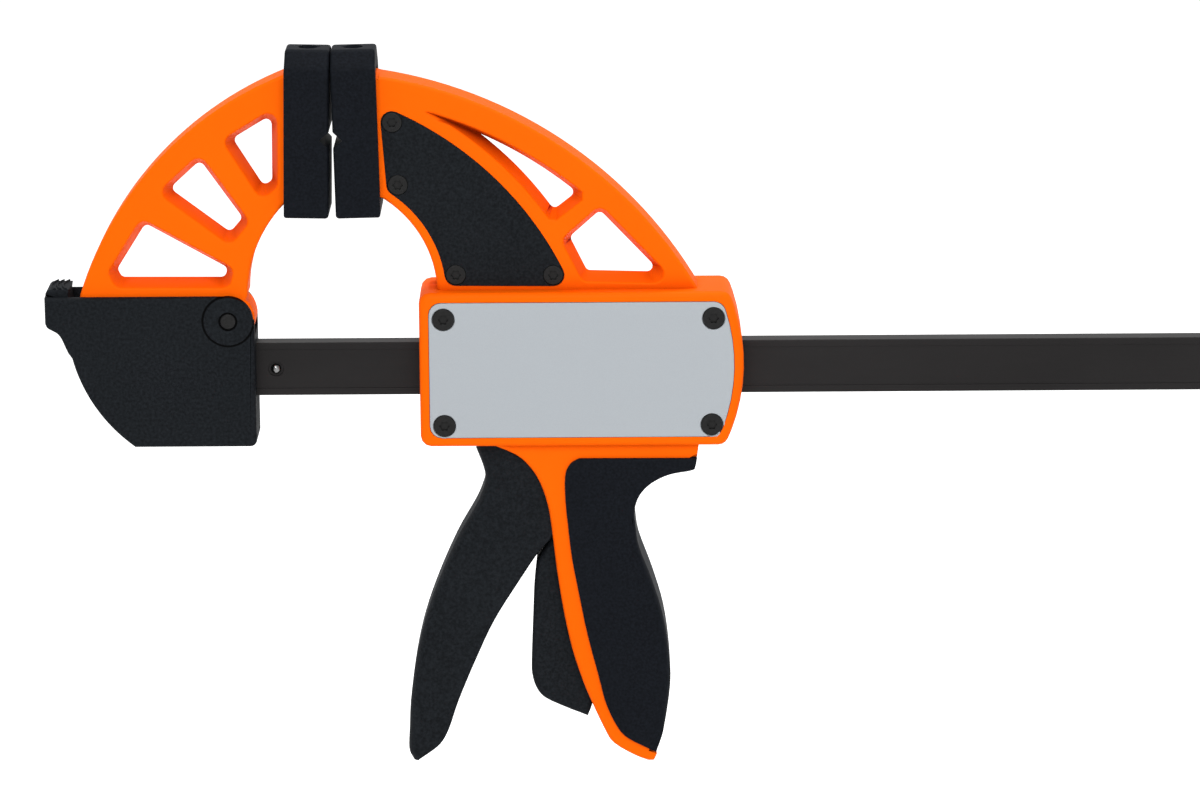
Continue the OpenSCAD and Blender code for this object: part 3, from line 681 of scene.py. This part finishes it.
class ClampStudio(bpy.types.PropertyGroup):
    """Camera and light of the studio"""

    target: bpy.props.FloatVectorProperty(
        name="Target", description="Point at the middle of the picture", subtype="XYZ",
        unit="LENGTH", default=(0.12199, 0, -0.01829),
    )
    distance: bpy.props.FloatProperty(
        name="Distance", description="From the camera to the target", unit="LENGTH", default=2.25
    )
    elevation: bpy.props.FloatProperty(
        name="Elevation", description="Of the camera above the bar", subtype="ANGLE",
        default=math.radians(14.1),
    )
    roll: bpy.props.FloatProperty(
        name="Roll", description="Tilt of the picture", subtype="ANGLE",
        default=math.radians(-0.35),
    )
    lens: bpy.props.FloatProperty(
        name="Lens", description="Focal length in millimetres", default=145.16
    )
    floor_gap: bpy.props.FloatProperty(
        name="Floor gap", description="Room between the handle and the floor", unit="LENGTH",
        default=0.3,
    )
    floor_glow: bpy.props.FloatProperty(
        name="Floor glow", description="Added to the floor's colour for the camera", default=0.66
    )
    sky: bpy.props.FloatProperty(
        name="Sky", description="Strength of the light from all round", default=0.38
    )


# Pieces of the fixed head


class DressBar(bpy.types.Operator):
    """Bar with softened edges, and its stop pins"""

    bl_idname = "clamp.bar"
    bl_label = "Bar"

    def execute(self, context):
        bar = copy_of("bar", "flat_bar")
        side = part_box("bar")[1].y / MM
        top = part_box("bar")[1].z / MM

        def corner(at, edge):
            return along_bar(edge) and abs(at.z) > top - 0.1

        def band(at, edge):
            return along_bar(edge) and abs(at.z) < top - 1

        def end(at, edge):
            return not along_bar(edge) and abs(at.y) > side - 1

        for width, where in ((0.5, corner), (0.25, band), (0.3, end)):
            round_edges(bar, width, 2, where, 60)
        finish_shading(bar)
        settle(bar, "bar", "bar_body", "bar_steel")
        low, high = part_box("bar_stop_pins")
        wide = (high.z - low.z) / 2
        pins = [round_rod(x, wide, high.y) for x in (low.x + wide, high.x - wide)]
        join(pins[0], pins[1:])
        pins[0].name = "stop_pins"
        settle(pins[0], "bar_stop_pins", "bar_body", "zinc_steel", "polished_steel")
        return {"FINISHED"}


def round_rod(x, wide, half):
    """A rod along Y with round ends, drawn out from a ball."""
    bpy.ops.object.select_all(action="DESELECT")
    bpy.ops.mesh.primitive_uv_sphere_add(
        segments=32, ring_count=16, radius=wide, location=(x, 0, 0), rotation=(math.pi / 2, 0, 0)
    )
    rod = bpy.context.object
    bpy.ops.object.transform_apply(location=True, rotation=True, scale=True)
    bpy.ops.object.mode_set(mode="EDIT")
    for side in (-1, 1):
        pick_faces(rod, lambda face: face.calc_center_median().y * side > 0)
        if side < 0:
            bpy.ops.mesh.extrude_region_move(TRANSFORM_OT_translate={"value": (0, wide - half, 0)})
        else:
            bpy.ops.transform.translate(value=(0, half - wide, 0))
    bpy.ops.mesh.select_all(action="SELECT")
    bpy.ops.mesh.remove_doubles(threshold=NEW_DOUBLES * MM)
    bpy.ops.mesh.normals_make_consistent(inside=False)
    bpy.ops.object.mode_set(mode="OBJECT")
    bpy.ops.object.shade_smooth_by_angle(angle=math.radians(40))
    return rod


class DressBracket(bpy.types.Operator):
    """Black bracket with rounded cheeks and bosses"""

    bl_idname = "clamp.bracket"
    bl_label = "Fixed bracket"

    def execute(self, context):
        edges = context.scene.clamp_edges
        bracket = copy_of("fixed_bracket", "bracket")
        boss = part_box("fixed_bracket")[1].y / MM
        low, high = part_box("pivot_pin")
        middle = (low + high) / 2 / MM
        axis = [(middle.x, middle.z)]
        cheek = boss - 0.8

        def cheek_rim(at, edge):
            return on_face(at, cheek) and from_nearest(at, axis) > 11.6

        def boss_rim(at, edge):
            return on_face(at, boss) and from_nearest(at, axis) > 10

        def pin_rim(at, edge):
            return on_face(at, boss) and from_nearest(at, axis) < 6

        round_edges(bracket, edges.bracket, 4, cheek_rim, 30)
        round_edges(bracket, 0.75, 3, boss_rim)
        round_edges(bracket, 0.25, 2, pin_rim)
        finish_shading(bracket)
        settle(bracket, "fixed_bracket", "bar_body", "black_plastic", "bracket_plastic")
        pin = copy_of("pivot_pin", "pivot_rod")
        round_edges(pin, 0.5, 3, lambda at, edge: on_face(at, boss), 60)
        finish_shading(pin)
        settle(pin, "pivot_pin", "bar_body", "screw_steel")
        return {"FINISHED"}


class DressLatch(bpy.types.Operator):
    """Latch with crescent ribs on its thumb pad"""

    bl_idname = "clamp.latch"
    bl_label = "Latch"

    def execute(self, context):
        latch = copy_of("latch", "thumb_latch")
        low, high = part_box("latch")
        left, side, top = low.x / MM, high.y / MM, high.z / MM
        pad_depth = 3.6
        first_rib, rib_step = 2.2, 2.6

        def pad_rim(at, edge):
            return at.z > top - pad_depth and on_face(at, side)

        round_edges(latch, 0.9, 4, pad_rim, 30)
        finish_shading(latch)
        join(latch, [thumb_rib(left + first_rib + count * rib_step, top) for count in range(3)])
        settle(latch, "latch", "latch_body", "black_plastic")
        return {"FINISHED"}


def thumb_rib(x, top):
    """One rib that lies on the thumb pad and bulges towards the bar's end."""
    reach = 21.0
    half_turn = math.radians(27)
    middle = Vector((x + reach, 0, top))
    start = (middle - reach * Vector((math.cos(half_turn), math.sin(half_turn), 0))) * MM
    bpy.ops.object.select_all(action="DESELECT")
    bpy.ops.mesh.primitive_circle_add(
        vertices=12, radius=0.8 * MM, fill_type="NGON", location=start,
        rotation=(math.pi / 2, 0, -half_turn),
    )
    rib = bpy.context.object
    rib.name = "thumb_rib"
    bpy.ops.object.transform_apply(location=True, rotation=True, scale=True)
    bpy.ops.object.mode_set(mode="EDIT")
    bpy.ops.mesh.select_all(action="SELECT")
    bpy.ops.mesh.spin(steps=14, angle=2 * half_turn, center=middle * MM, axis=(0, 0, 1))
    bpy.ops.mesh.select_all(action="SELECT")
    bpy.ops.mesh.remove_doubles(threshold=NEW_DOUBLES * MM)
    bpy.ops.mesh.select_all(action="DESELECT")
    bpy.ops.mesh.select_mode(type="EDGE")
    bpy.ops.mesh.select_non_manifold()
    bpy.ops.mesh.edge_face_add()
    bpy.ops.mesh.select_all(action="SELECT")
    bpy.ops.mesh.normals_make_consistent(inside=False)
    bpy.ops.object.mode_set(mode="OBJECT")
    bpy.ops.object.shade_smooth_by_angle(angle=math.radians(40))
    return rib


def join(piece, others):
    """Makes other pieces part of one."""
    bpy.ops.object.select_all(action="DESELECT")
    for other in others:
        other.select_set(True)
    piece.select_set(True)
    bpy.context.view_layer.objects.active = piece
    bpy.ops.object.join()


class DressFixedArm(bpy.types.Operator):
    """Orange fixed arm with rounded rims and tapered windows"""

    bl_idname = "clamp.fixed_arm"
    bl_label = "Fixed arm"

    def execute(self, context):
        edges = context.scene.clamp_edges
        arm = copy_of("fixed_arm", "fixed_arm_moulding")
        pad_back = -17.5

        def rim(at):
            return on_face(at, FIXED_ARM_SIDE) and at.x < pad_back

        round_edges(arm, edges.arm, 4, lambda at, edge: rim(at) and not tapered(edge))
        round_edges(arm, edges.window, 3, lambda at, edge: rim(at) and tapered(edge))
        refill(arm, FIXED_ARM_SIDE)
        finish_shading(arm)
        settle(arm, "fixed_arm", "fixed_jaw", "orange_plastic")
        return {"FINISHED"}


class DressPads(bpy.types.Operator):
    """Both pads, with rounded edges and a hole in the top"""

    bl_idname = "clamp.pads"
    bl_label = "Pads"

    def execute(self, context):
        for node, body in (("fixed_pad", "fixed_jaw"), ("moving_pad", "moving_jaw")):
            pad = copy_of(node, node + "_cap")
            low, high = (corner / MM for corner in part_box(node))

            def outer(at, edge, low=low, high=high):
                top = at.z > high.z - 6
                hole = top and abs(at.y) < 5 and abs(at.x - (low.x + high.x) / 2) < 5
                groove = 104 < at.z < 115
                outside = top or at.z < low.z + 2 or abs(at.y) > high.y - 0.1
                return outside and not hole and not groove

            round_edges(pad, context.scene.clamp_edges.pad, 4, outer, 20)
            finish_shading(pad)
            settle(pad, node, body, "pad_rubber")
        return {"FINISHED"}


# Pieces of the moving head


class DressShells(bpy.types.Operator):
    """Both halves of the orange moulding: arm, housing and handle core"""

    bl_idname = "clamp.shells"
    bl_label = "Jaw shells"

    def execute(self, context):
        edges = context.scene.clamp_edges
        for side in ("front", "rear"):
            node = "jaw_shell_" + side
            shell = copy_of(node, node + "_moulding")
            low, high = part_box(node)
            face = max(abs(low.y), abs(high.y)) / MM
            plate_seat = Outline("side_plate_" + side, 0.6)
            cover_seat = Outline("jaw_cover_" + side, 0.1)
            pad_back = 20.5
            housing_foot = -34.5

            def housing_rim(at, edge):
                return on_face(at, face) and not plate_seat.holds(edge)

            def on_arm(at):
                return on_face(at, MOVING_ARM_SIDE) and at.x > pad_back

            def arm_rim(at, edge):
                return on_arm(at) and not cover_seat.holds(edge) and not tapered(edge)

            def window_rim(at, edge):
                return on_arm(at) and not cover_seat.holds(edge) and tapered(edge)

            def core_rim(at, edge):
                below = on_face(at, HANDLE_CORE_SIDE) and at.z < housing_foot
                return below and side_of(edge).x < 0.2

            def seat_rim(at, edge):
                if plate_seat.holds(edge):
                    return on_face(at, face)
                return on_face(at, MOVING_ARM_SIDE) and cover_seat.holds(edge)

            round_edges(shell, edges.housing, 5, housing_rim)
            round_edges(shell, edges.arm, 4, arm_rim)
            round_edges(shell, edges.window, 3, window_rim)
            round_edges(shell, edges.handle, 4, core_rim, 30)
            round_edges(shell, edges.seam, 2, seat_rim, 60)
            refill(shell, MOVING_ARM_SIDE)
            finish_shading(shell)
            settle(shell, node, "moving_jaw", "orange_plastic")
        return {"FINISHED"}


class DressCovers(bpy.types.Operator):
    """Black jaw covers and their screws"""

    bl_idname = "clamp.covers"
    bl_label = "Jaw covers"

    def execute(self, context):
        for side in ("front", "rear"):
            screws = copy_of("cover_screws_" + side, "arm_screws_" + side)
            centres = head_centres(screws)

            def beyond(reach, centres=centres):
                def outside(at, edge):
                    return abs(at.y) > COVER_LEVEL and from_nearest(at, centres) > reach

                return outside

            cover = copy_of("jaw_cover_" + side, "arm_cover_" + side)
            round_edges(cover, 0.2, 2, beyond(COVER_SEAT_REACH), 50)
            finish_shading(cover)
            settle(cover, "jaw_cover_" + side, "moving_jaw", "black_plastic")
            round_edges(screws, HEAD_RADIUS, 3, beyond(RECESS_REACH), 60)
            finish_shading(screws)
            settle(screws, "cover_screws_" + side, "moving_jaw", "screw_steel")
        return {"FINISHED"}


def from_nearest(at, centres):
    """Distance to the nearest of some axes along Y."""
    return min(math.hypot(at.x - x, at.z - z) for x, z in centres)


def head_centres(piece):
    """Middle of each loose screw of a piece, seen along Y."""
    mesh = bmesh.new()
    mesh.from_mesh(piece.data)
    left = set(mesh.verts)
    centres = []
    while left:
        waiting = [left.pop()]
        island = []
        while waiting:
            corner = waiting.pop()
            island.append(corner.co / MM)
            for edge in corner.link_edges:
                other = edge.other_vert(corner)
                if other in left:
                    left.remove(other)
                    waiting.append(other)
        xs = [at.x for at in island]
        zs = [at.z for at in island]
        centres.append(((min(xs) + max(xs)) / 2, (min(zs) + max(zs)) / 2))
    mesh.free()
    return centres


class DressPlates(bpy.types.Operator):
    """Steel side plates, their screws and barrel nuts"""

    bl_idname = "clamp.plates"
    bl_label = "Side plates"

    def execute(self, context):
        seam = context.scene.clamp_edges.seam
        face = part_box("side_plate_front")[0].y / -MM
        for side, node in (("front", "plate_screws"), ("rear", "plate_nuts")):
            heads = copy_of(node, node + "_heads")
            centres = head_centres(heads)

            def beyond(reach, centres=centres):
                return lambda at, edge: on_face(at, face) and from_nearest(at, centres) > reach

            def seat_rim(at, edge, centres=centres):
                return on_face(at, face) and from_nearest(at, centres) < PLATE_SEAT_REACH[0]

            round_edges(heads, HEAD_RADIUS, 3, beyond(RECESS_REACH), 60)
            finish_shading(heads)
            settle(heads, node, "moving_jaw", "screw_steel")
            plate = copy_of("side_plate_" + side, "steel_plate_" + side)
            round_edges(plate, 0.5, 3, seat_rim, 50)
            round_edges(plate, seam, 2, beyond(PLATE_SEAT_REACH[1]), 50)
            refill(plate, face)
            finish_shading(plate)
            settle(plate, "side_plate_" + side, "moving_jaw", "plate_steel")
        return {"FINISHED"}


class DressGrip(bpy.types.Operator):
    """Soft grip that wraps the handle's sides and back"""

    bl_idname = "clamp.grip"
    bl_label = "Handle grip"

    def execute(self, context):
        edges = context.scene.clamp_edges
        grip = copy_of("handle_grip", "soft_grip_sleeve")
        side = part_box("handle_grip")[1].y / MM
        beak, toe = -52, -172
        palm_top, palm_foot = -60, -180
        least = 0.1

        def share(at, edge):
            """Widest in the palm, and narrow towards the beak and the toe."""
            if not on_face(at, side) or side_of(edge).x < 0.25 or not toe < at.z < beak:
                return 0
            inside = min((palm_top - at.z) / 40, (at.z - palm_foot) / 20)
            return least + (1 - least) * max(0, min(1, inside))

        grade_edges(grip, edges.grip, 7, share)
        refill(grip, side)
        finish_shading(grip, 40)
        settle(grip, "handle_grip", "moving_jaw", "soft_grip")
        return {"FINISHED"}


class DressLevers(bpy.types.Operator):
    """Trigger and release lever with rounded edges"""

    bl_idname = "clamp.levers"
    bl_label = "Trigger and release lever"

    def execute(self, context):
        edges = context.scene.clamp_edges
        trigger = copy_of("trigger", "squeeze_trigger")
        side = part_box("trigger")[1].y / MM
        housing_foot = -36

        def front(at, edge):
            return on_face(at, side) and at.z < housing_foot and side_of(edge).x < -0.2

        def back(at, edge):
            return on_face(at, side) and at.z < housing_foot and side_of(edge).x > -0.2

        round_edges(trigger, edges.trigger, 6, front, 30)
        round_edges(trigger, 1.0, 3, back, 30)
        finish_shading(trigger, 40)
        settle(trigger, "trigger", "trigger_body", "black_plastic")
        lever = copy_of("release_lever", "release_finger_bar")
        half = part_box("release_lever")[1].y / MM
        neck = -60
        round_edges(lever, edges.lever, 4, lambda at, edge: on_face(at, half) and at.z < neck, 30)
        finish_shading(lever, 40)
        settle(lever, "release_lever", "release_body", "black_plastic")
        return {"FINISHED"}


class DressInside(bpy.types.Operator):
    """Material for the steel pieces that keep their shape"""

    bl_idname = "clamp.inside"
    bl_label = "Inner pieces"

    def execute(self, context):
        for part in frame["nodes"].values():
            if not part.hide_render:
                part.data.materials.clear()
                part.data.materials.append(material("zinc_steel"))
        return {"FINISHED"}


# Studio


class SetStudio(bpy.types.Operator):
    """Camera, soft lights and a pale floor"""

    bl_idname = "clamp.studio"
    bl_label = "Studio"

    # name, place from the camera's target in metres, size in metres, power in watts
    LAMPS = (
        ("key_light", (-0.35, -2.0, 1.9), 1.2, 42),
        ("fill_light", (0.6, -2.4, 0.6), 1.8, 18),
        ("top_light", (0.3, 0.5, 2.1), 1.2, 28),
        ("left_rim", (-2.1, 0.5, 0.3), 0.9, 14),
        ("right_rim", (2.3, 0.6, 0.2), 0.9, 14),
    )

    def execute(self, context):
        self.place_camera(context)
        self.place_floor(context)
        self.place_lights(context)
        context.scene.view_settings.view_transform = "Standard"
        return {"FINISHED"}

    def place_camera(self, context):
        studio = context.scene.clamp_studio
        target = Vector(studio.target)
        back = Vector((0, -math.cos(studio.elevation), math.sin(studio.elevation)))
        bpy.ops.object.camera_add()
        camera = context.object
        camera.name = "studio_camera"
        tilt = Matrix.Rotation(math.pi / 2 - studio.elevation, 4, "X")
        roll = Matrix.Rotation(studio.roll, 4, "Z")
        camera.matrix_world = Matrix.Translation(target + back * studio.distance) @ tilt @ roll
        camera.data.sensor_width = 36
        camera.data.lens = studio.lens
        camera.data.clip_end = 50
        context.scene.camera = camera

    def place_floor(self, context):
        level = CAD_BOX[0][2] - context.scene.clamp_studio.floor_gap
        bpy.ops.object.select_all(action="DESELECT")
        bpy.ops.mesh.primitive_plane_add(size=24, location=(0, 6, level))
        floor = context.object
        floor.name = "studio_floor"
        floor.data.materials.append(material("studio_white"))

    def place_lights(self, context):
        studio = context.scene.clamp_studio
        middle = Vector(studio.target)
        for name, place, size, power in self.LAMPS:
            bpy.ops.object.light_add(type="AREA", location=middle + Vector(place))
            lamp = context.object
            lamp.name = name
            lamp.data.size = size
            lamp.data.energy = power
            lamp.rotation_euler = (-Vector(place)).to_track_quat("-Z", "Y").to_euler()
        world = bpy.data.worlds.new("studio_world")
        world.use_nodes = True
        context.scene.world = world
        tree = world.node_tree
        sky = tree.nodes["Background"]
        sky.inputs["Color"].default_value = (1, 1, 1, 1)
        seen = light_path(Recipe.on_tree(tree))
        level = seen * (1 - studio.sky) + studio.sky
        tree.links.new(level.socket, sky.inputs["Strength"])


class ClampPanel(bpy.types.Panel):
    """Lists the steps that dress the clamp"""

    bl_idname = "VIEW3D_PT_clamp"
    bl_label = "Bar clamp"
    bl_space_type = "VIEW_3D"
    bl_region_type = "UI"
    bl_category = "Clamp"

    def draw(self, context):
        scene = context.scene
        for group in (scene.clamp_finish, scene.clamp_edges, scene.clamp_studio):
            for name in group.__annotations__:
                self.layout.prop(group, name)
        for step in STEPS:
            self.layout.operator(step.bl_idname)


GROUPS = (ClampFinish, ClampEdges, ClampStudio)
STEPS = (
    DressBar, DressBracket, DressLatch, DressFixedArm, DressPads, DressShells, DressCovers,
    DressPlates, DressGrip, DressLevers, DressInside, SetStudio,
)


def register():
    for cls in GROUPS + STEPS + (ClampPanel,):
        bpy.utils.register_class(cls)
    bpy.types.Scene.clamp_finish = bpy.props.PointerProperty(type=ClampFinish)
    bpy.types.Scene.clamp_edges = bpy.props.PointerProperty(type=ClampEdges)
    bpy.types.Scene.clamp_studio = bpy.props.PointerProperty(type=ClampStudio)


def unregister():
    del bpy.types.Scene.clamp_studio
    del bpy.types.Scene.clamp_edges
    del bpy.types.Scene.clamp_finish
    for cls in reversed(GROUPS + STEPS + (ClampPanel,)):
        bpy.utils.unregister_class(cls)


def main():
    register()
    for step in STEPS:
        group, name = step.bl_idname.split(".")
        getattr(getattr(bpy.ops, group), name)()


if __name__ == "__main__":
    main()
